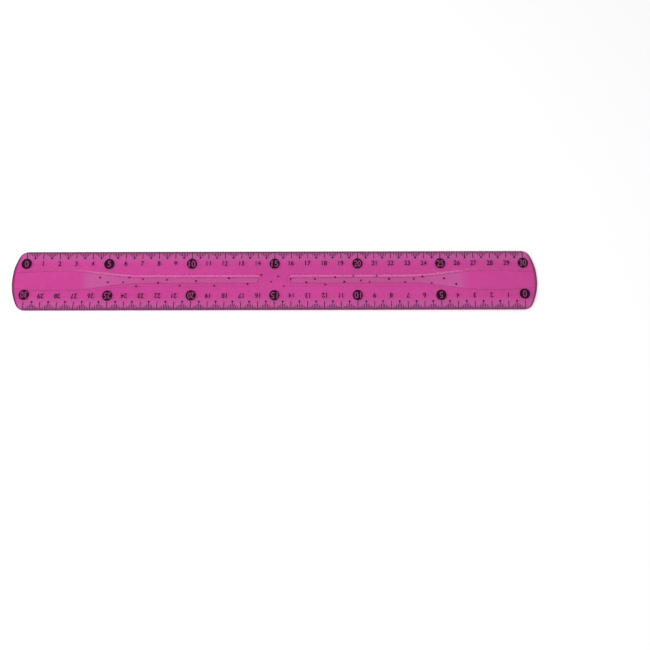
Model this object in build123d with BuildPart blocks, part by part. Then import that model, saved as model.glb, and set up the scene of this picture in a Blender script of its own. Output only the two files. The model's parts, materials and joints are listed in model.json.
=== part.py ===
from build123d import *
import os

os.makedirs("parts", exist_ok=True)

# A thirty centimetre flexible ruler: one soft, clear strip with two printed scales.
# X runs along the ruler, Y across it and Z up. The origin is the middle of the underside.
# The upper scale, at +Y, has its zero at -X. The lower scale is the same one turned round.
# The strip bends anywhere along its length. It is cut into short stiff lengths that are
# joined by narrow soft webs, and each web is one place where the strip bends.

# Scale
scale_centimetre = 10.0
centimetre_count = 30
millimetres_per_centimetre = 10

# Strip
end_margin = 8.0
ruler_width = 39.0
ruler_thickness = 1.2
end_arc_radius = 38.0
end_corner_radius = 6.0
edge_bevel = 0.2

# Sunken panels, one in each half, shaped like a bottle that lies with its base at the ruler's end
panel_depth = 0.35
panel_end_width = 11.4
panel_bulge_width = 15.2
panel_neck_width = 8.0
floor_end_width = 9.8
floor_bulge_width = 13.2
floor_neck_width = 3.8
bulge_from_zero = 22.0
neck_from_zero = 70.0
gap_between_panels = 15.0
gap_between_floors = 19.2
panel_tip_radius = 3.1
floor_tip_radius = 1.0

# Bend lines
centre_length_span = 13.0
bend_pitch = 20.0
bends_per_arm = 8
web_width = 0.5

# Printed ink
ink_thickness = 0.03
tick_width = 0.23
centimetre_tick_width = 0.3
arch_tick_length = 3.5
# Lengths of the first four millimetre ticks beside a centimetre, as shares of the longest
arch_tick_shares = (0.4, 0.58, 0.81, 1.0)
tick_dot_diameter = 0.86
# The badges are a little taller, across the ruler, than they are long
badge_length = 6.2
badge_height = 6.9
speck_diameter = 0.8
# Sides of the printed shapes that are round on the real ruler
dot_sides = 6
badge_sides = 24

# The two scales differ a little: tick lengths, and how far the round badges are from the edge
upper_half_tick_length = 4.3
upper_centimetre_tick_length = 4.8
upper_badge_from_edge = 8.3
upper_end_badge_from_edge = 8.1
lower_half_tick_length = 5.3
lower_centimetre_tick_length = 5.4
lower_badge_from_edge = 9.4
lower_end_badge_from_edge = 10.1
badge_every = 5

# Specks down the middle, as shares of a scale centimetre: along from zero, and up from the middle
speck_place_shares = (
    (4.49, 0.22), (4.97, -0.10), (5.89, -0.10), (6.26, 0.23), (6.69, -0.39), (7.08, 0.10),
    (7.99, -0.14), (8.53, 0.06), (9.31, -0.34), (10.27, -0.03), (11.38, -0.37), (12.26, 0.16),
    (13.39, -0.24), (14.20, 0.36), (14.79, -0.10), (15.21, 0.26), (15.56, -0.39), (15.97, 0.11),
    (16.91, -0.13), (17.43, 0.09), (18.05, -0.29), (18.64, 0.21), (19.19, -0.10), (19.74, 0.29),
    (20.20, -0.01), (20.72, -0.12), (21.15, 0.29), (21.89, 0.09), (22.85, -0.12), (23.38, 0.09),
    (23.91, 0.24), (24.46, -0.20), (25.20, 0.11), (25.92, -0.27),
)

# Room that a cut has past the face it goes through
cut_overrun = 1.0

# Sizes worked out from those above
scale_length = scale_centimetre * centimetre_count
ruler_length = scale_length + 2 * end_margin
scale_millimetre = scale_centimetre / millimetres_per_centimetre
half_length = ruler_length / 2
half_scale = scale_length / 2
half_width = ruler_width / 2


def strip_outline():
    """The strip seen from above: straight long edges, and ends that bow out between round corners."""
    with BuildSketch() as outline:
        Rectangle(ruler_length, ruler_width)
        for side in (-1, 1):
            with BuildSketch(mode=Mode.PRIVATE) as end_disc:
                with Locations((side * (half_length - end_arc_radius), 0)):
                    Circle(end_arc_radius)
                with Locations((side * (half_length - end_arc_radius - ruler_length), 0)):
                    Rectangle(2 * ruler_length, 2 * ruler_width)
            add(end_disc.sketch, mode=Mode.INTERSECT)
        corners = outline.vertices()
        fillet(corners, radius=end_corner_radius)
    return outline.sketch


def panel_section(level, end_width, bulge_width, neck_width, gap, tip_radius):
    """One level of the left half's sunken panel: swelling base, shoulder, neck and blunt tip."""
    base_x = -half_length - cut_overrun
    bulge_x = bulge_from_zero - half_scale
    neck_x = neck_from_zero - half_scale
    tip_x = -gap / 2
    corner_x = tip_x - tip_radius
    corner_y = neck_width / 2 - tip_radius
    third = (neck_x - bulge_x) / 3
    with BuildSketch(Plane.XY.offset(level)) as section:
        with BuildLine():
            base = Line((base_x, 0), (base_x, end_width / 2))
            swell = Bezier(
                base @ 1,
                ((base_x + bulge_x) / 2, bulge_width / 2),
                (bulge_x, bulge_width / 2),
            )
            shoulder = Bezier(
                swell @ 1,
                (bulge_x + third, bulge_width / 2),
                (neck_x - third, neck_width / 2),
                (neck_x, neck_width / 2),
            )
            Line(shoulder @ 1, (corner_x, neck_width / 2))
            CenterArc((corner_x, corner_y), tip_radius, 0, 90)
            Line((tip_x, corner_y), (tip_x, 0))
            mirror(about=Plane.XZ)
        make_face()
    return section.sketch


# The whole moulded strip, from which every length and web is cut
with BuildPart() as strip:
    with BuildSketch():
        add(strip_outline())
    extrude(amount=ruler_thickness)
    rims = strip.edges().filter_by(Plane.XY)
    chamfer(rims, length=edge_bevel)
    with BuildPart(mode=Mode.PRIVATE) as panel:
        add(
            panel_section(
                ruler_thickness,
                panel_end_width,
                panel_bulge_width,
                panel_neck_width,
                gap_between_panels,
                panel_tip_radius,
            )
        )
        add(
            panel_section(
                ruler_thickness - panel_depth,
                floor_end_width,
                floor_bulge_width,
                floor_neck_width,
                gap_between_floors,
                floor_tip_radius,
            )
        )
        loft(ruled=True)
        mirror(about=Plane.YZ)
    add(panel.part, mode=Mode.SUBTRACT)

# A thin skin that follows the strip's upper side, from which the specks are cut
with BuildPart() as skin:
    with Locations((0, 0, ink_thickness)):
        add(strip.part)
    add(strip.part, mode=Mode.SUBTRACT)

# Every speck, each following the surface that it is printed on
with BuildPart() as specks:
    with BuildSketch():
        with Locations(
            *[
                (along * scale_centimetre - half_scale, up * scale_centimetre)
                for along, up in speck_place_shares
            ]
        ):
            RegularPolygon(speck_diameter / 2, dot_sides)
    extrude(amount=ruler_thickness + cut_overrun)
    add(skin.part, mode=Mode.INTERSECT)


# The corners of a badge's outline, round its middle
badge_corners = [
    (corner.position.X * badge_length / 2, corner.position.Y * badge_height / 2)
    for corner in PolarLocations(1, badge_sides)
]


def marks_between(low, high):
    """The printed marks of both scales whose places lie between two places along the ruler."""
    scales = (
        (
            1,
            upper_half_tick_length,
            upper_centimetre_tick_length,
            upper_badge_from_edge,
            upper_end_badge_from_edge,
        ),
        (
            -1,
            lower_half_tick_length,
            lower_centimetre_tick_length,
            lower_badge_from_edge,
            lower_end_badge_from_edge,
        ),
    )
    half_way = millimetres_per_centimetre // 2
    last = centimetre_count * millimetres_per_centimetre
    with BuildSketch(Plane.XY.offset(ruler_thickness)) as marks:
        for side, half_tick, centimetre_tick, badge_in, end_badge_in in scales:
            edge = side * (half_width - edge_bevel)
            for count in range(last + 1):
                x = count * scale_millimetre - half_scale
                if not low < x < high:
                    continue
                place = count % millimetres_per_centimetre
                from_mark = min(place, millimetres_per_centimetre - place)
                if from_mark == 0:
                    tick = centimetre_tick
                elif from_mark == half_way:
                    tick = half_tick
                else:
                    tick = arch_tick_length * arch_tick_shares[from_mark - 1]
                width = centimetre_tick_width if from_mark == 0 else tick_width
                reach = tick - edge_bevel
                with Locations((x, edge - side * reach / 2)):
                    Rectangle(width, reach)
                if from_mark == half_way:
                    with Locations((x, side * (half_width - half_tick))):
                        RegularPolygon(tick_dot_diameter / 2, dot_sides)
                if count % (badge_every * millimetres_per_centimetre) == 0:
                    inset = end_badge_in if count in (0, last) else badge_in
                    with Locations((x, side * (half_width - inset))):
                        Polygon(*badge_corners)
    return marks.sketch


def cut_from_strip(name, low, high):
    """A stretch of the strip between two places along the ruler."""
    with BuildPart() as piece:
        add(strip.part)
        with Locations(((low + high) / 2, 0, ruler_thickness / 2)):
            Box(
                high - low,
                ruler_width + cut_overrun,
                ruler_thickness + cut_overrun,
                mode=Mode.INTERSECT,
            )
    piece.part.label = name
    export_step(piece.part, f"parts/{name}.step")


def print_on_strip(name, low, high):
    """The ink on a stretch of the strip: ticks, dots and badges on the flats, and the specks."""
    with BuildPart() as ink:
        with BuildSketch(Plane.XY.offset(ruler_thickness)):
            add(marks_between(low, high))
        extrude(amount=ink_thickness)
        for speck in specks.part.solids():
            if low < speck.center().X < high:
                add(speck)
    ink.part.label = name
    export_step(ink.part, f"parts/{name}.step")


# The centre length, which both arms bend away from
half_centre = centre_length_span / 2
half_web = web_width / 2
cut_from_strip("centre_length", half_web - half_centre, half_centre - half_web)
print_on_strip("centre_ink", -half_centre, half_centre)

# The arms: web, length and ink for each bend, from the centre out to the tip
for arm, side in (("left", -1), ("right", 1)):
    for number in range(1, bends_per_arm + 1):
        bend = half_centre + (number - 1) * bend_pitch
        if number < bends_per_arm:
            next_bend = bend + bend_pitch
            far_end = next_bend - half_web
        else:
            next_bend = half_length
            far_end = half_length + cut_overrun
        web_low, web_high = sorted((side * (bend - half_web), side * (bend + half_web)))
        cut_from_strip(f"{arm}_web_{number}", web_low, web_high)
        low, high = sorted((side * (bend + half_web), side * far_end))
        cut_from_strip(f"{arm}_length_{number}", low, high)
        low, high = sorted((side * bend, side * next_bend))
        print_on_strip(f"{arm}_ink_{number}", low, high)
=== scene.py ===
import json
import math
import random

import bpy
import numpy as np
from mathutils import Matrix, Vector


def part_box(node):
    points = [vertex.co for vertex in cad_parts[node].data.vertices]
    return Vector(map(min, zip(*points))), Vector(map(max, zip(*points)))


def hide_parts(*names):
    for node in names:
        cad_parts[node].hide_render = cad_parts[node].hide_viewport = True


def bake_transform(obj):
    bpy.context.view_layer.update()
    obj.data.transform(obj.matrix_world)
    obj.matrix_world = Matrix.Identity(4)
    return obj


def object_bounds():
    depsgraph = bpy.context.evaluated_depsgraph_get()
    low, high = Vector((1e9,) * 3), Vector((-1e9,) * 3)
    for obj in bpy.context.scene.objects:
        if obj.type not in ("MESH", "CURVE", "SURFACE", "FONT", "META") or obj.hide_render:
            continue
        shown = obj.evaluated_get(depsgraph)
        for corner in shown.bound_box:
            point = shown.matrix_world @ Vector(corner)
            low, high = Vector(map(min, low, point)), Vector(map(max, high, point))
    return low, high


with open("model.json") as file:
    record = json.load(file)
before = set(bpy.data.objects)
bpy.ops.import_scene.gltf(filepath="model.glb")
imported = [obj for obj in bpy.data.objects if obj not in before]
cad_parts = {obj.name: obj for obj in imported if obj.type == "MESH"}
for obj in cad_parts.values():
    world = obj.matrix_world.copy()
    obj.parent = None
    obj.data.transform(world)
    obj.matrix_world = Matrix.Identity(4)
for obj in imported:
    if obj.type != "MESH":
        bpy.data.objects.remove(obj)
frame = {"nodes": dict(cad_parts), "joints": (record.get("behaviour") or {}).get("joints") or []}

# A flexible ruler: one clear magenta strip, and the ink that is printed on it.
# X runs along the ruler, Y across it and Z up. Sizes are in millimetres, and MM turns them into
# Blender's metres where a mesh, a bend, a material, a lamp or the camera is made.
MM = 0.001
ARMS = (("left", -1), ("right", 1))

# Sizes read from the frame
cad_low, cad_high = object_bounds()
ruler_tip = cad_high.x / MM
ruler_edge = cad_high.y / MM
ruler_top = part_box("centre_length")[1].z / MM
ink_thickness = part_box("centre_ink")[1].z / MM - ruler_top
bend_places = sorted(
    joint["pos_m"][0] / MM for joint in frame["joints"] if joint["name"].startswith("right")
)

# Ends of the strip
end_arc_radius = 38.0
end_corner_radius = 6.0
rim_radius = 0.25

# Sunken panels, with places along the left one
panel_depth = 0.35
panel_base = -159.0
panel_bulge = -128.0
panel_neck = -80.0
# Half widths at the base, the bulge and the neck: at the top of the walls, and at the floor
outer_half_widths = (5.7, 7.6, 4.0)
floor_half_widths = (4.9, 6.6, 1.9)
# The centre of the tip's rounded corner at +Y
panel_tip_corner = (-10.6, 0.9)
# How smooth a wall is in section: 0 is straight, and 1 is rounded all the way
wall_softness = 0.6

# Painted shade: dark lines along a wall's foot and, less strongly, along its brow
foot_shade_width = 0.5
brow_shade_width = 0.3
brow_shade_share = 0.6

# Printed scales
scale_start = -150.0
centimetre = 10.0
centimetre_count = 30
marks_per_centimetre = 10
tick_width = 0.34
centimetre_tick_width = 0.42
arch_tick_lengths = (1.4, 2.03, 2.84, 3.5)
tick_dot_radius = 0.6
badge_half_size = (3.1, 3.45)
badge_every = 5
# Where the scale at +Y and the one at -Y differ
half_tick_lengths = {1: 4.3, -1: 5.3}
centimetre_tick_lengths = {1: 4.8, -1: 5.4}
numerals_from_edge = {1: 8.0, -1: 9.2}
badges_from_edge = {1: 8.3, -1: 9.4}
end_badges_from_edge = {1: 8.1, -1: 10.1}

# Numerals, where a weight is how far the edges of a stroke are moved out
numeral_height = 3.1
numeral_narrowing = 0.87
numeral_weight = 0.065
four_weight = 0.03
badge_numeral_height = 4.1
badge_numeral_width = 3.95
badge_numeral_weight = 0.05

# Specks, each drawn from these ranges
speck_seed = 7
speck_reach = (0.48, 0.63)
speck_drawn_out = (0.04, 0.2)
speck_fuller = (0.03, 0.13)
# How much taller than long a speck is
speck_stretch = 1.13
# In the frame's ink, a speck is what lies this near to the middle line
speck_zone = 5.0
# Vertices of the frame's ink that are this close together are one
same_place = 0.001

# How far clear of the strip the ink's solids start
ink_gap = 0.004

# Steps in each curve of a numeral, and corners of the other round printed shapes
numeral_curve_steps = 6
badge_corners = 64
dot_corners = 14
speck_corners = 12

# Rows of the strip's mesh along the ruler, closer together at the panels' round tips
row_step = 1.0
tip_row_step = 0.3
tip_rows = (6.6, 10.8)
row_slack = 0.01
# Rows in the rounded end, as shares of the way out to the outline
end_start = 140.0
end_shares = [row / 24 for row in range(1, 22)] + [0.91, 0.94, 0.97, 0.99, 1.0]

# Columns of the strip's mesh, as shares of a wall and of the flat beside it
wall_shares = (1.0, 0.92, 0.8, 0.65, 0.5, 0.35, 0.2, 0.08, 0.0)
flat_shares = (0.03, 0.12, 0.25, 0.38, 0.5, 0.6, 0.69, 0.77, 0.85, 0.93, 0.965, 0.99, 1.0)
# Steps round a rim's edge, in degrees
rim_angles = (22.5, 45.0, 67.5, 90.0)

# Shares of the way out between which the rims' dark shade sets in
side_shade_shares = (0.93, 1.0)
end_shade_shares = (0.91, 0.97)

# Colours of the plastic, from dark to pale where there are two
body_colours = ((0.635, 0.077, 0.39, 1), (0.705, 0.1, 0.45, 1))
# The paler haze colour is partly a painted highlight
haze_and_highlight_colours = ((0.585, 0.165, 0.43, 1), (0.63, 0.22, 0.5, 1))
thin_colour = (0.632, 0.19, 0.475, 1)
# Painted shade for the dark lines at the walls' foot and brow
crease_shade_tint = (0.5, 0.25, 0.38, 1)
# Painted shade of the rims
rim_shade_colour = (0.165, 0.042, 0.112, 1)
# The tint of the light that goes straight through
through_colour = (0.858, 0.421, 0.714, 1)

# Distances from the middle of the ruler between which the floors' haze sets in and turns paler,
# partly by a painted highlight
haze_end = (118.0, 110.0)
haze_pale_and_highlight_zone = (75.0, 105.0)
# How sunk the surface is where the haze sets in at the foot of a wall
hazy_floor_shares = (0.85, 1.0)
# Distances from the middle line between which the strip thins towards its long edges
thin_zone = (11.0, 16.0)

# Slow changes of shade, fine mottle and scuffs in the plastic, with noise scales per metre
body_stops = (0.35, 0.65)
flow_scales = (14, 60, 60)
flow_detail = 3.0
mottle_scale = 320.0
mottle_detail = 4.0
mottle_share = 0.4
scuff_slant = 17.0
scuff_scales = (50, 3200, 300)
scuff_detail = 2.0
scuff_stops = (0.66, 0.74)

# The plastic's surface
plastic_clearness = 0.82
plastic_ior = 1.5
plastic_roughness = (0.06, 0.22)
scuff_roughness = 0.12
wave_strength = 0.12
wave_height = 0.4
scuff_strength = 0.15
scuff_depth = 0.02

# The ink
ink_colours = ((0.012, 0.001, 0.006, 1), (0.035, 0.002, 0.015, 1))
ink_stops = (0.3, 0.75)
ink_grain_scale = 2500.0
ink_grain_detail = 2.0
ink_roughness = (0.38, 0.6)
ink_specular = 0.06

# Table
table_colour = (0.92, 0.92, 0.92, 1)
table_roughness = 0.7
table_specular = 0.1
table_half_size = 3000.0
table_drop = 0.2

# Light, with the name, place, size and power of each lamp
world_strength = 0.75
lamps = (
    ("softbox", (-700, -250, 800), (600, 500), 5.0),
    ("strip_light", (0, 0, 1000), (900, 340), 1.6),
)
lamp_target = (0, 0, 0)

# Camera
camera_elevation = 65.0
camera_distance = 846.5
camera_lens = 79.0
camera_sensor = 36.0
camera_roll = -0.138
camera_target = (30.3, -29.3, 0.0)
camera_clip = (10.0, 20000.0)


def panel_half_width(x, half_widths):
    """Half of the sunken panel's width at x: swelling base, shoulder and neck."""
    base, bulge, neck = half_widths
    x = -abs(x)
    if x <= panel_bulge:
        t = (x - panel_base) / (panel_bulge - panel_base)
        return bulge - (bulge - base) * (1 - t) ** 2
    if x <= panel_neck:
        t = (x - panel_bulge) / (panel_neck - panel_bulge)
        return bulge + (neck - bulge) * t * t * (3 - 2 * t)
    return neck


def panel_place(x, y):
    """The panel's half widths at its top and floor, and a place's distance from its middle line."""
    corner_x, corner_y = panel_tip_corner
    past_corner = max(0.0, -abs(x) - corner_x)
    beside_corner = max(0.0, abs(y) - corner_y)
    from_middle = corner_y + math.hypot(past_corner, beside_corner)
    outer = panel_half_width(x, outer_half_widths)
    floor = panel_half_width(x, floor_half_widths)
    return outer, floor, from_middle


def panel_share(x, y):
    """How sunk the surface is: 0 on the flats, 1 on a panel's floor, and between on a wall."""
    outer, floor, from_middle = panel_place(x, y)
    return min(1.0, max(0.0, (outer - from_middle) / (outer - floor)))


def panel_crease_shade(x, y):
    """How much painted shade a place gets near a wall's foot or brow: 1 on the line at the foot
    itself.
    """
    outer, floor, from_middle = panel_place(x, y)
    foot = 1 - abs(from_middle - floor) / foot_shade_width
    brow = brow_shade_share * (1 - abs(from_middle - outer) / brow_shade_width)
    return max(0.0, foot, brow)


def surface_height(x, y):
    """Height of the ruler's printed side, with the wall's edges slightly rounded."""
    share = panel_share(x, y)
    soft = share * share * (3 - 2 * share)
    return ruler_top - panel_depth * ((1 - wall_softness) * share + wall_softness * soft)


class EndOutline:
    """The round end of the strip at +X, moved in from the edge by an inset."""

    def __init__(self, inset):
        self.half_width = ruler_edge - inset
        self.arc_x = ruler_tip - end_arc_radius
        self.arc_radius = end_arc_radius - inset
        self.corner_y = ruler_edge - end_corner_radius
        self.corner_x = self.arc_x + math.sqrt(
            (end_arc_radius - end_corner_radius) ** 2 - self.corner_y**2
        )
        self.corner_radius = end_corner_radius - inset
        self.meeting = math.atan2(self.corner_y, self.corner_x - self.arc_x)
        self.middle = (self.meeting + math.pi / 2) / 2

    def on_arc(self, angle):
        """A place on the large arc, and the way out there."""
        out = (math.cos(angle), math.sin(angle))
        return (self.arc_x + self.arc_radius * out[0], self.arc_radius * out[1]), out

    def on_corner(self, angle):
        """A place on the small arc of the corner, and the way out there."""
        out = (math.cos(angle), math.sin(angle))
        place = (
            self.corner_x + self.corner_radius * out[0],
            self.corner_y + self.corner_radius * out[1],
        )
        return place, out

    def side_point(self, share):
        """A place on the long edge and the outer half of the corner, and the way out there."""
        straight = self.corner_x - end_start
        length = straight + self.corner_radius * (math.pi / 2 - self.middle)
        along = share * length
        if along <= straight:
            return (end_start + along, self.half_width), (0.0, 1.0)
        return self.on_corner(math.pi / 2 - (along - straight) / self.corner_radius)

    def end_point(self, start_y, share):
        """A place on the end, from start_y on the large arc to the middle of the corner."""
        start = math.asin(start_y / self.arc_radius)
        arc = self.arc_radius * (self.meeting - start)
        along = share * (arc + self.corner_radius * (self.middle - self.meeting))
        if along <= arc:
            return self.on_arc(start + along / self.arc_radius)
        return self.on_corner(self.meeting + (along - arc) / self.corner_radius)


inner_end = EndOutline(rim_radius)


def panel_columns(x):
    """Distances from the middle line to the mesh's columns on the panel's floor and walls."""
    outer = panel_half_width(x, outer_half_widths)
    floor = panel_half_width(x, floor_half_widths)
    columns = [0.0, floor / 3, floor - foot_shade_width, floor - foot_shade_width / 2]
    return columns + [outer - share * (outer - floor) for share in wall_shares]


def straight_row(x):
    """Half a row across the strip at x, from the middle to the edge, and the way out there."""
    columns = panel_columns(x)
    reach = inner_end.half_width - columns[-1]
    columns += [columns[-1] + share * reach for share in flat_shares]
    return [(x, y) for y in columns], (0.0, 1.0)


def end_row(share):
    """Half a row in the rounded end, bowed from straight at end_start to the outline at 1."""
    columns = panel_columns(end_start + share * (ruler_tip - end_start))
    places = []
    for y in columns:
        (far_x, _), _ = inner_end.end_point(y, 0.0)
        places.append((end_start + share * (far_x - end_start), y))
    inner, (edge, way_out) = places[-1], inner_end.side_point(share)
    last_y = panel_columns(ruler_tip)[-1]
    last_inner, _ = inner_end.end_point(last_y, 0.0)
    last_edge, _ = inner_end.end_point(last_y, 1.0)
    for part in flat_shares:
        on_end, _ = inner_end.end_point(last_y, part)
        bow = [on_end[k] - last_inner[k] - part * (last_edge[k] - last_inner[k]) for k in (0, 1)]
        places.append(
            tuple(inner[k] + part * (edge[k] - inner[k]) + share**2 * bow[k] for k in (0, 1))
        )
    return places, way_out


def rim_shade(share, start, full):
    """How much of the rim's dark shade a place has, by its share of the way out to the rim."""
    return min(1.0, max(0.0, (share - start) / (full - start)))


def rim_profile(top):
    """Steps down a rim from the printed side to the underside: how far out, and how high."""
    turns = [math.radians(angle) for angle in rim_angles]
    steps = [(rim_radius * math.sin(turn), rim_radius * (1 - math.cos(turn))) for turn in turns]
    return [(out, top - fall) for out, fall in steps] + steps[::-1]


def row_places(low, high):
    """Places of the straight rows between low and high, closer together at the panels' tips."""
    places = [low]
    while places[-1] < high - row_slack:
        here = places[-1]
        if tip_rows[0] <= here < tip_rows[1] - row_slack:
            places.append(here + tip_row_step)
        else:
            stop = tip_rows[0] if here < tip_rows[0] else high
            places.append(min(stop, here + row_step))
    if places[-1] - places[-2] < tip_row_step / 2:
        del places[-2]
    return places


class StripMesh:
    """One stretch of the strip, open where it meets its neighbours, made row by row."""

    def __init__(self, side):
        self.side = side
        self.vertices = []
        self.recess = []
        self.crease_shade = []
        self.rim = []
        self.faces = []

    def add(self, x, y, z, rim, recess=0.0, crease_shade=0.0):
        """Adds a vertex, mirrored for the left arm, and returns its number."""
        self.vertices.append((self.side * x, y, z))
        self.recess.append(recess)
        self.crease_shade.append(crease_shade)
        self.rim.append(rim)
        return len(self.vertices) - 1

    def quad(self, *corners):
        """Adds a face that looks out of the strip on either arm."""
        self.faces.append(corners if self.side > 0 else tuple(reversed(corners)))

    def row(self, half_row, way_out, end_share=0.0):
        """One closed ring: the printed side, a rim, the underside and the other rim."""
        whole = [(x, -y) for x, y in reversed(half_row[1:])] + half_row
        shade = rim_shade(end_share, *end_shade_shares)
        half_shades = [shade] * (len(half_row) - len(flat_shares))
        half_shades += [max(shade, rim_shade(share, *side_shade_shares)) for share in flat_shares]
        shades = half_shades[:0:-1] + half_shades
        top = [
            self.add(x, y, surface_height(x, y), rim, panel_share(x, y), panel_crease_shade(x, y))
            for (x, y), rim in zip(whole, shades)
        ]
        bottom = [self.add(x, y, 0.0, rim) for (x, y), rim in zip(whole, shades)]
        rims = {}
        for edge, (x, y) in ((-1, whole[0]), (1, whole[-1])):
            rims[edge] = [
                self.add(x + way_out[0] * out, y + edge * way_out[1] * out, z, 1.0)
                for out, z in rim_profile(surface_height(x, y))
            ]
        return top, rims[1], bottom, rims[-1]

    def join(self, row_a, row_b):
        """Faces between two rings."""
        a, b = (
            top + right + bottom[::-1] + left[::-1] for top, right, bottom, left in (row_a, row_b)
        )
        for k in range(len(a)):
            after = (k + 1) % len(a)
            self.quad(a[k], b[k], b[after], a[after])

    def close_end(self, row):
        """The rim round the end, from the printed side to the underside."""
        top, right, bottom, left = row
        last = len(top) - 1
        columns = []
        for k in range(last + 1):
            if k == 0:
                rim = left
            elif k == last:
                rim = right
            else:
                x, y, z = self.vertices[top[k]]
                out_x, out_y = self.way_out_of_end(abs(k - last // 2), abs(y))
                out_y = math.copysign(out_y, y)
                rim = [
                    self.add(self.side * x + out_x * far, y + out_y * far, height, 1.0)
                    for far, height in rim_profile(z)
                ]
            columns.append([top[k]] + rim + [bottom[k]])
        for near, far in zip(columns, columns[1:]):
            for k in range(len(near) - 1):
                self.quad(near[k], near[k + 1], far[k + 1], far[k])

    def way_out_of_end(self, from_middle, y):
        """The way out of the end at a column, counted from the middle one."""
        columns = panel_columns(ruler_tip)
        if from_middle < len(columns):
            _, way_out = inner_end.end_point(y, 0.0)
        else:
            share = flat_shares[from_middle - len(columns)]
            _, way_out = inner_end.end_point(columns[-1], share)
        return way_out

    def finish(self, name, material):
        """Makes the stretch a mesh object."""
        shares = {"recess": self.recess, "crease_shade": self.crease_shade, "rim": self.rim}
        return make_mesh(name, self.vertices, self.faces, material, shares, smooth=True)


def make_mesh(name, vertices, faces, material, shares, smooth):
    """A mesh object from points in millimetres, with its rest places and shares as attributes."""
    mesh = bpy.data.meshes.new(name)
    places = np.array(vertices, float) * MM
    mesh.from_pydata([tuple(place) for place in places], [], faces)
    for key, values in shares.items():
        attribute = mesh.attributes.new(key, "FLOAT", "POINT")
        attribute.data.foreach_set("value", np.array(values, np.float32))
    attribute = mesh.attributes.new("place", "FLOAT_VECTOR", "POINT")
    attribute.data.foreach_set("vector", places.astype(np.float32).ravel())
    mesh.polygons.foreach_set("use_smooth", [smooth] * len(mesh.polygons))
    mesh.materials.append(material)
    mesh.update()
    thing = bpy.data.objects.new(name, mesh)
    bpy.context.scene.collection.objects.link(thing)
    return thing


def ink_outline_to_mesh(curve):
    """Points and faces of a filled flat curve."""
    thing = bpy.data.objects.new("outline", curve)
    bpy.context.scene.collection.objects.link(thing)
    graph = bpy.context.evaluated_depsgraph_get()
    mesh = bpy.data.meshes.new_from_object(thing.evaluated_get(graph))
    points = np.array([vertex.co[:2] for vertex in mesh.vertices], float).reshape(-1, 2)
    faces = [tuple(polygon.vertices) for polygon in mesh.polygons]
    bpy.data.meshes.remove(mesh)
    bpy.data.objects.remove(thing)
    return points, faces


def numeral_curve(text, height, width, weight):
    """The outline of a number, centred on the origin and brought to size."""
    letters = bpy.data.curves.new("numeral", "FONT")
    letters.body = text
    letters.resolution_u = numeral_curve_steps
    thing = bpy.data.objects.new("numeral", letters)
    bpy.context.scene.collection.objects.link(thing)
    graph = bpy.context.evaluated_depsgraph_get()
    curve = bpy.data.curves.new("numeral outline", "CURVE")
    curve.dimensions = "2D"
    curve.fill_mode = "BOTH"
    curve.resolution_u = numeral_curve_steps
    for stroke in thing.evaluated_get(graph).to_curve(graph).splines:
        copy = curve.splines.new("BEZIER")
        copy.use_cyclic_u = True
        copy.bezier_points.add(len(stroke.bezier_points) - 1)
        for point, source in zip(copy.bezier_points, stroke.bezier_points):
            point.handle_left_type = point.handle_right_type = "FREE"
            point.co = source.co
            point.handle_left = source.handle_left
            point.handle_right = source.handle_right
    bpy.data.objects.remove(thing)
    bpy.data.curves.remove(letters)
    points, _ = ink_outline_to_mesh(curve)
    low, high = points.min(0), points.max(0)
    middle = (low + high) / 2
    tall = height / (high[1] - low[1])
    wide = width / (high[0] - low[0]) if width else tall * numeral_narrowing
    curve.transform(
        Matrix.Diagonal((wide, tall, 1, 1)) @ Matrix.Translation((-middle[0], -middle[1], 0))
    )
    curve.offset = weight
    return curve


def badge_shape(text):
    """A filled oval with a number left open in it."""
    width = badge_numeral_width if len(text) > 1 else None
    curve = numeral_curve(text, badge_numeral_height, width, -badge_numeral_weight)
    ring = curve.splines.new("POLY")
    half_long, half_high = (half + badge_numeral_weight for half in badge_half_size)
    ring.points.add(badge_corners - 1)
    for k, point in enumerate(ring.points):
        turn = 2 * math.pi * k / badge_corners
        point.co = (half_long * math.cos(turn), half_high * math.sin(turn), 0, 1)
    ring.use_cyclic_u = True
    return ink_outline_to_mesh(curve)


def numeral_shape(text):
    """A plain number. The sharp corners of a 4 cross over if its strokes are made wider."""
    weight = four_weight if "4" in text else numeral_weight
    return ink_outline_to_mesh(numeral_curve(text, numeral_height, None, weight))


def one_face(points):
    """A flat shape of one face."""
    return np.array(points, float), [tuple(range(len(points)))]


def tick_shape(length, width):
    """A tick that hangs down from the origin."""
    half = width / 2
    return one_face([(-half, 0), (-half, -length), (half, -length), (half, 0)])


def dotted_tick_shape(length, width):
    """A tick that ends in a round dot."""
    half = width / 2
    gap = math.asin(half / tick_dot_radius)
    points = [(-half, 0)]
    for k in range(dot_corners + 1):
        turn = math.pi / 2 + gap + (2 * math.pi - 2 * gap) * k / dot_corners
        points.append((tick_dot_radius * math.cos(turn), tick_dot_radius * math.sin(turn) - length))
    return one_face(points + [(half, 0)])


def speck_shape(chance):
    """A small uneven drop of ink: a round one, drawn out a little and with one side fuller."""
    reach = chance.uniform(*speck_reach)
    drawn_out, fuller = chance.uniform(*speck_drawn_out), chance.uniform(*speck_fuller)
    drawn_way, fuller_way = chance.uniform(0, 2 * math.pi), chance.uniform(0, 2 * math.pi)
    points = []
    for k in range(speck_corners):
        angle = 2 * math.pi * k / speck_corners
        far = reach * (
            1
            + drawn_out * math.cos(2 * (angle - drawn_way))
            + fuller * math.cos(3 * (angle - fuller_way))
        )
        points.append((far * math.cos(angle), speck_stretch * far * math.sin(angle)))
    return one_face(points)


def placed(shape, x, y, side=1):
    """A flat shape moved to a place, and turned half round for the scale at -Y."""
    points, faces = shape
    return points * side + (x, y), faces


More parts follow.
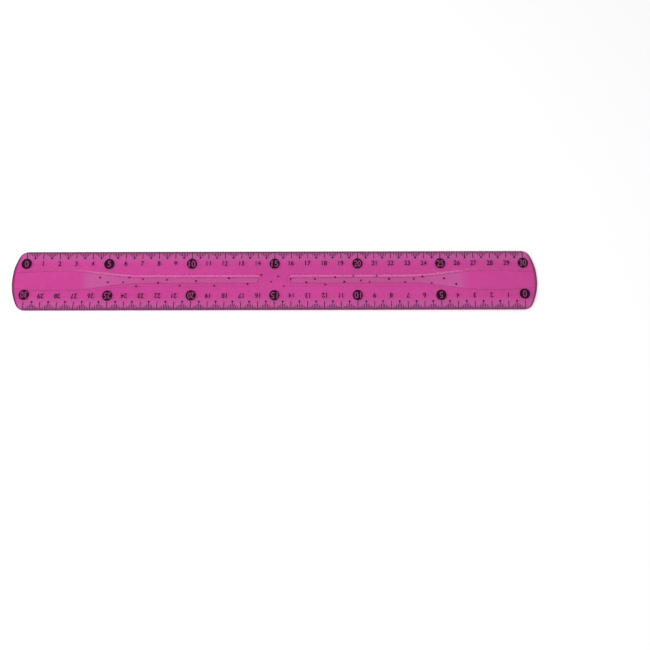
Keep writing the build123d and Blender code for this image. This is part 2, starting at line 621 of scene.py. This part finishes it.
def printed_scale(side):
    """Every flat shape of one scale."""
    shapes = []
    last = centimetre_count * marks_per_centimetre
    edge = ruler_edge - rim_radius
    for count in range(last + 1):
        x = side * (scale_start + count * centimetre / marks_per_centimetre)
        place = count % marks_per_centimetre
        from_mark = min(place, marks_per_centimetre - place)
        if from_mark == 0:
            tick = tick_shape(centimetre_tick_lengths[side] - rim_radius, centimetre_tick_width)
        elif from_mark == marks_per_centimetre // 2:
            tick = dotted_tick_shape(half_tick_lengths[side] - rim_radius, tick_width)
        else:
            tick = tick_shape(arch_tick_lengths[from_mark - 1] - rim_radius, tick_width)
        shapes.append(placed(tick, x, side * edge, side))
        if from_mark:
            continue
        text = str(count // marks_per_centimetre)
        if count % (badge_every * marks_per_centimetre):
            shape, insets = numeral_shape(text), numerals_from_edge
        else:
            shape = badge_shape(text)
            insets = end_badges_from_edge if count in (0, last) else badges_from_edge
        shapes.append(placed(shape, x, side * (ruler_edge - insets[side]), side))
    return shapes


def islands(mesh):
    """The loose islands of a mesh, each as its vertices seen from above."""
    group = list(range(len(mesh.vertices)))

    def root(k):
        while group[k] != k:
            group[k] = group[group[k]]
            k = group[k]
        return k

    last_at = {}
    for vertex in mesh.vertices:
        key = tuple(round(value / MM / same_place) for value in vertex.co)
        if key in last_at:
            group[root(vertex.index)] = root(last_at[key])
        last_at[key] = vertex.index
    for edge in mesh.edges:
        a, b = edge.vertices
        group[root(a)] = root(b)
    found = {}
    for vertex in mesh.vertices:
        found.setdefault(root(vertex.index), []).append(vertex.co[:2])
    return found.values()


def speck_places():
    """The middles of the specks, read from the frame's ink."""
    places = []
    for name, node in frame["nodes"].items():
        if "_ink" not in name:
            continue
        for points in islands(node.data):
            points = np.array(points) / MM
            middle = (points.min(0) + points.max(0)) / 2
            if abs(middle[1]) < speck_zone:
                places.append(tuple(middle))
    return sorted(places)


def split_across(shape, x_cut):
    """A flat shape's points, with those of a cut across the ruler, and its faces on each side."""
    points, faces = shape
    points = [tuple(point) for point in points]
    crossings = {}
    halves = ([], [])
    for face in faces:
        parts = ([], [])
        for a, b in zip(face, face[1:] + face[:1]):
            ax, bx = points[a][0] - x_cut, points[b][0] - x_cut
            for part, sign in zip(parts, (-1, 1)):
                if ax * sign >= 0:
                    part.append(a)
            if ax * bx < 0:
                key = (min(a, b), max(a, b))
                if key not in crossings:
                    share = ax / (ax - bx)
                    y = points[a][1] + share * (points[b][1] - points[a][1])
                    points.append((x_cut, y))
                    crossings[key] = len(points) - 1
                for part in parts:
                    part.append(crossings[key])
        for half, part in zip(halves, parts):
            if len(part) > 2 and any(points[k][0] != x_cut for k in part):
                half.append(tuple(part))
    return points, halves


def cut_at_steps(shape):
    """A flat shape cut at the halves and at 0, to follow a bend and to part where pieces meet."""
    points, faces = shape
    low, high = min(p[0] for p in points), max(p[0] for p in points)
    halves = [k + 0.5 for k in range(math.floor(low) - 1, math.ceil(high) + 1)]
    cuts = sorted(cut for cut in halves + [0.0] if low < cut < high)
    done = []
    for cut in cuts:
        points, (left, faces) = split_across((points, faces), cut)
        done += left
    return points, done + list(faces)


def thickened(points, faces):
    """A flat shape laid on the printed side as a thin closed solid of ink."""
    vertices = [(x, y, surface_height(x, y) + ink_gap) for x, y in points]
    vertices += [(x, y, z + ink_thickness - ink_gap) for x, y, z in vertices]
    above = len(points)
    sides = set()
    for face in faces:
        sides.update(zip(face, face[1:] + face[:1]))
    solid = []
    for face in faces:
        solid.append(tuple(k + above for k in face))
        solid.append(tuple(reversed(face)))
    for a, b in sides:
        if (b, a) not in sides:
            solid.append((a, b, b + above, a + above))
    return vertices, solid


def counter_clockwise(points, face):
    """A flat face whose corners run round it counter-clockwise."""
    area = sum(
        points[a][0] * points[b][1] - points[b][0] * points[a][1]
        for a, b in zip(face, face[1:] + face[:1])
    )
    return face if area > 0 else tuple(reversed(face))


def print_of_piece(shapes, low, high, name, material):
    """All ink between two places along the ruler, as one piece."""
    vertices, solids = [], []
    for points, faces in shapes:
        chosen = []
        for face in faces:
            middle = sum(points[k][0] for k in face) / len(face)
            if low < middle < high:
                chosen.append(counter_clockwise(points, face))
        if not chosen:
            continue
        used = sorted({k for face in chosen for k in face})
        number = {k: n for n, k in enumerate(used)}
        flat = [points[k] for k in used]
        faces = [tuple(number[k] for k in face) for face in chosen]
        more_vertices, more_faces = thickened(flat, faces)
        start = len(vertices)
        vertices += more_vertices
        solids += [tuple(k + start for k in face) for face in more_faces]
    return make_mesh(name, vertices, solids, material, {}, smooth=False)


class Shading:
    """The nodes of one new material, with a short way to add each kind."""

    def __init__(self, name):
        self.material = bpy.data.materials.new(name)
        self.material.use_nodes = True
        self.material.node_tree.nodes.clear()

    def add(self, kind, inputs, **settings):
        """A node, each of whose inputs is a value or the output of another node."""
        tree = self.material.node_tree
        node = tree.nodes.new("ShaderNode" + kind)
        for key, value in settings.items():
            setattr(node, key, value)
        for key, value in inputs.items():
            if isinstance(value, bpy.types.NodeSocket):
                tree.links.new(value, node.inputs[key])
            else:
                node.inputs[key].default_value = value
        return node

    def attribute(self, name, output="Fac"):
        """What the mesh carries under a name: a share, or a place if the output is "Vector"."""
        return self.add("Attribute", {}, attribute_name=name).outputs[output]

    def calculate(self, operation, *values):
        """The result of a sum with one to three values."""
        return self.add("Math", dict(enumerate(values)), operation=operation).outputs[0]

    def noise(self, place, scale, detail):
        """Smooth noise between 0 and 1."""
        inputs = {"Vector": place, "Scale": scale, "Detail": detail}
        return self.add("TexNoise", inputs).outputs["Fac"]

    def stretched(self, place, scales, slant=0.0):
        """A place turned about Z by the slant, and scaled along each axis."""
        inputs = {"Vector": place, "Rotation": (0, 0, math.radians(slant)), "Scale": scales}
        return self.add("Mapping", inputs).outputs["Vector"]

    def spread(self, value, start, end, low=0.0, high=1.0, kind="LINEAR"):
        """Goes from low to high while the value goes from start to end."""
        inputs = {"Value": value, "From Min": start, "From Max": end, "To Min": low, "To Max": high}
        return self.add("MapRange", inputs, interpolation_type=kind).outputs["Result"]

    def ramp(self, value, stops, colours):
        """Goes from one colour to the other while the value goes from stop to stop."""
        node = self.add("ValToRGB", {"Fac": value})
        for element, stop, colour in zip(node.color_ramp.elements, stops, colours):
            element.position = stop
            element.color = colour
        return node.outputs["Color"]

    def mix(self, factor, a, b, data_type="RGBA", blend_type="MIX"):
        """Goes from a to b while the factor goes from 0 to 1."""
        inputs = {"Factor": factor, "A": a, "B": b}
        node = self.add("Mix", inputs, data_type=data_type, blend_type=blend_type)
        return node.outputs["Result"]

    def bump(self, height, strength, distance, invert=False, **under):
        """Small relief, laid over another one if that is given as Normal."""
        inputs = {"Height": height, "Strength": strength, "Distance": distance * MM, **under}
        return self.add("Bump", inputs, invert=invert).outputs["Normal"]

    def finish(self, shader):
        """Gives the material its surface, and returns it."""
        self.add("OutputMaterial", {"Surface": shader})
        return self.material


def strip_material():
    """Soft clear magenta plastic: glossy, with painted shade in its rims and along its walls' foot
    and brow, and paler on the panels' floors, partly by a painted highlight.
    """
    shading = Shading("clear_magenta_plastic")
    recess = shading.attribute("recess")
    place = shading.attribute("place", "Vector")
    parts = shading.add("SeparateXYZ", {0: place})
    from_middle = shading.calculate("ABSOLUTE", parts.outputs["X"])
    across = shading.calculate("ABSOLUTE", parts.outputs["Y"])

    # The floors are hazy towards the middle of the ruler, and palest where the haze sets in, partly
    # by a painted highlight
    hazy = shading.spread(from_middle, haze_end[0] * MM, haze_end[1] * MM, kind="SMOOTHSTEP")
    on_floor = shading.spread(recess, *hazy_floor_shares)
    haze = shading.calculate("MULTIPLY", hazy, on_floor)
    pale_with_highlight = shading.spread(from_middle, haze_pale_and_highlight_zone[0] * MM, haze_pale_and_highlight_zone[1] * MM)
    haze_and_highlight_colour = shading.mix(pale_with_highlight, *haze_and_highlight_colours)

    # Slow changes of shade where the plastic flowed, and a fine mottle
    flow = shading.noise(shading.stretched(place, flow_scales), 1.0, flow_detail)
    mottle = shading.noise(place, mottle_scale, mottle_detail)
    shade = shading.mix(mottle_share, flow, mottle, data_type="FLOAT")
    colour = shading.ramp(shade, body_stops, body_colours)
    colour = shading.mix(haze, colour, haze_and_highlight_colour)

    # Paler where the strip thins out towards its long edges
    thin = shading.spread(across, thin_zone[0] * MM, thin_zone[1] * MM)
    colour = shading.mix(thin, colour, thin_colour)

    # Painted shade: dark lines where a wall meets the floor and the flats, and dark rims
    crease_shade = shading.attribute("crease_shade")
    colour = shading.mix(crease_shade, colour, crease_shade_tint, blend_type="MULTIPLY")
    colour = shading.mix(shading.attribute("rim"), colour, rim_shade_colour)

    # Hairline scuffs from use, long and thin, slightly aslant
    scuff_place = shading.stretched(place, scuff_scales, scuff_slant)
    scuffs = shading.spread(shading.noise(scuff_place, 1.0, scuff_detail), *scuff_stops)

    # Polished flats, faintly frosted floors and dull scuffs
    polish = shading.spread(haze, 0.0, 1.0, *plastic_roughness)
    rough = shading.calculate("MULTIPLY_ADD", scuffs, scuff_roughness, polish)
    waves = shading.bump(flow, wave_strength, wave_height)
    bump = shading.bump(scuffs, scuff_strength, scuff_depth, invert=True, Normal=waves)
    plastic = shading.add(
        "BsdfPrincipled",
        {
            "Base Color": colour,
            "Roughness": rough,
            "Normal": bump,
            "Transmission Weight": plastic_clearness,
            "IOR": plastic_ior,
        },
    )

    # Light from lamps and off the table goes straight through, tinted
    through = shading.add("BsdfTransparent", {"Color": through_colour})
    path = shading.add("LightPath", {})
    straight = shading.calculate(
        "MAXIMUM", path.outputs["Is Shadow Ray"], path.outputs["Is Diffuse Ray"]
    )
    inputs = {"Fac": straight, 1: plastic.outputs["BSDF"], 2: through.outputs["BSDF"]}
    return shading.finish(shading.add("MixShader", inputs).outputs["Shader"])


def ink_material():
    """Black printing ink, a little uneven and half matt."""
    shading = Shading("black_printing_ink")
    grain = shading.noise(shading.attribute("place", "Vector"), ink_grain_scale, ink_grain_detail)
    ink = shading.add(
        "BsdfPrincipled",
        {
            "Base Color": shading.ramp(grain, ink_stops, ink_colours),
            "Roughness": shading.spread(grain, 0.0, 1.0, *ink_roughness),
            "Specular IOR Level": ink_specular,
        },
    )
    return shading.finish(ink.outputs["BSDF"])


def table_material():
    """A pale matt table top."""
    shading = Shading("pale_table")
    matt = shading.add(
        "BsdfPrincipled",
        {
            "Base Color": table_colour,
            "Roughness": table_roughness,
            "Specular IOR Level": table_specular,
        },
    )
    return shading.finish(matt.outputs["BSDF"])


def piece_spans():
    """For each bend: the stretch of an arm that its pieces cover, the bend's place, and its
    distance to the nearer end of the stretch.
    """
    spans = []
    for number, bend in enumerate(bend_places):
        low = 0.0 if number == 0 else (bend_places[number - 1] + bend) / 2
        high = ruler_tip if number == len(bend_places) - 1 else (bend + bend_places[number + 1]) / 2
        spans.append((low, high, bend, min(bend - low, high - bend)))
    return spans


def bend_piece(piece):
    """Bakes a piece's place into its mesh."""
    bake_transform(piece)


def strip_piece(side, low, high, name, material):
    """A stretch of the strip between two distances from the middle of the ruler."""
    mesh = StripMesh(side)
    rows = [mesh.row(*straight_row(x)) for x in row_places(low, min(high, end_start))]
    if high > end_start:
        rows += [mesh.row(*end_row(share), share) for share in end_shares]
    for row_a, row_b in zip(rows, rows[1:]):
        mesh.join(row_a, row_b)
    if high > end_start:
        mesh.close_end(rows[-1])
    return mesh.finish(name, material)


def build_ruler():
    """All pieces of strip and of print, one of each for every stretch of each arm."""
    plastic, ink = strip_material(), ink_material()
    chance = random.Random(speck_seed)
    shapes = printed_scale(1) + printed_scale(-1)
    shapes += [placed(speck_shape(chance), x, y) for x, y in speck_places()]
    shapes = [cut_at_steps(shape) for shape in shapes]
    for arm, side in ARMS:
        for number, (low, high, bend, reach) in enumerate(piece_spans(), 1):
            strip = strip_piece(side, low, high, f"{arm}_strip_{number}", plastic)
            bend_piece(strip)
            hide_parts(f"{arm}_web_{number}", f"{arm}_length_{number}")
            near, far = sorted((side * low, side * high))
            marks = print_of_piece(shapes, near, far, f"{arm}_print_{number}", ink)
            bend_piece(marks)
            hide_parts(f"{arm}_ink_{number}")
            if number == 1:
                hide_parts("centre_length")
                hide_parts("centre_ink")


def area_lamp(name, place, size, power):
    """A rectangular lamp that shines at the middle of the ruler."""
    lamp = bpy.data.lights.new(name, "AREA")
    lamp.shape = "RECTANGLE"
    lamp.size, lamp.size_y = (value * MM for value in size)
    lamp.energy = power
    thing = bpy.data.objects.new(name, lamp)
    thing.location = Vector(place) * MM
    way = Vector(lamp_target) * MM - thing.location
    thing.rotation_euler = way.to_track_quat("-Z", "Y").to_euler()
    bpy.context.scene.collection.objects.link(thing)


def set_stage():
    """A white world, the table and the lamps."""
    world = bpy.data.worlds.new("studio")
    bpy.context.scene.world = world
    world.use_nodes = True
    background = world.node_tree.nodes["Background"]
    background.inputs["Color"].default_value = (1, 1, 1, 1)
    background.inputs["Strength"].default_value = world_strength

    half = table_half_size * MM
    drop = -table_drop * MM
    mesh = bpy.data.meshes.new("table")
    corners = [(-half, -half, drop), (half, -half, drop), (half, half, drop), (-half, half, drop)]
    mesh.from_pydata(corners, [], [(0, 1, 2, 3)])
    mesh.materials.append(table_material())
    table = bpy.data.objects.new("table", mesh)
    bpy.context.scene.collection.objects.link(table)

    for lamp in lamps:
        area_lamp(*lamp)
    bpy.context.scene.view_settings.view_transform = "Standard"


def set_camera():
    """The camera at the photo's viewing angle."""
    camera = bpy.data.objects.new("camera", bpy.data.cameras.new("camera"))
    camera.data.lens = camera_lens
    camera.data.sensor_width = camera_sensor
    camera.data.clip_start, camera.data.clip_end = (value * MM for value in camera_clip)
    angle = math.radians(camera_elevation)
    back = Vector((0, -math.cos(angle), math.sin(angle)))
    camera.location = (Vector(camera_target) + back * camera_distance) * MM
    turn = (-back).to_track_quat("-Z", "Y").to_matrix()
    roll = Matrix.Rotation(math.radians(camera_roll), 3, "Z")
    camera.rotation_euler = (turn @ roll).to_euler()
    bpy.context.scene.collection.objects.link(camera)
    bpy.context.scene.camera = camera


set_camera()
build_ruler()
set_stage()
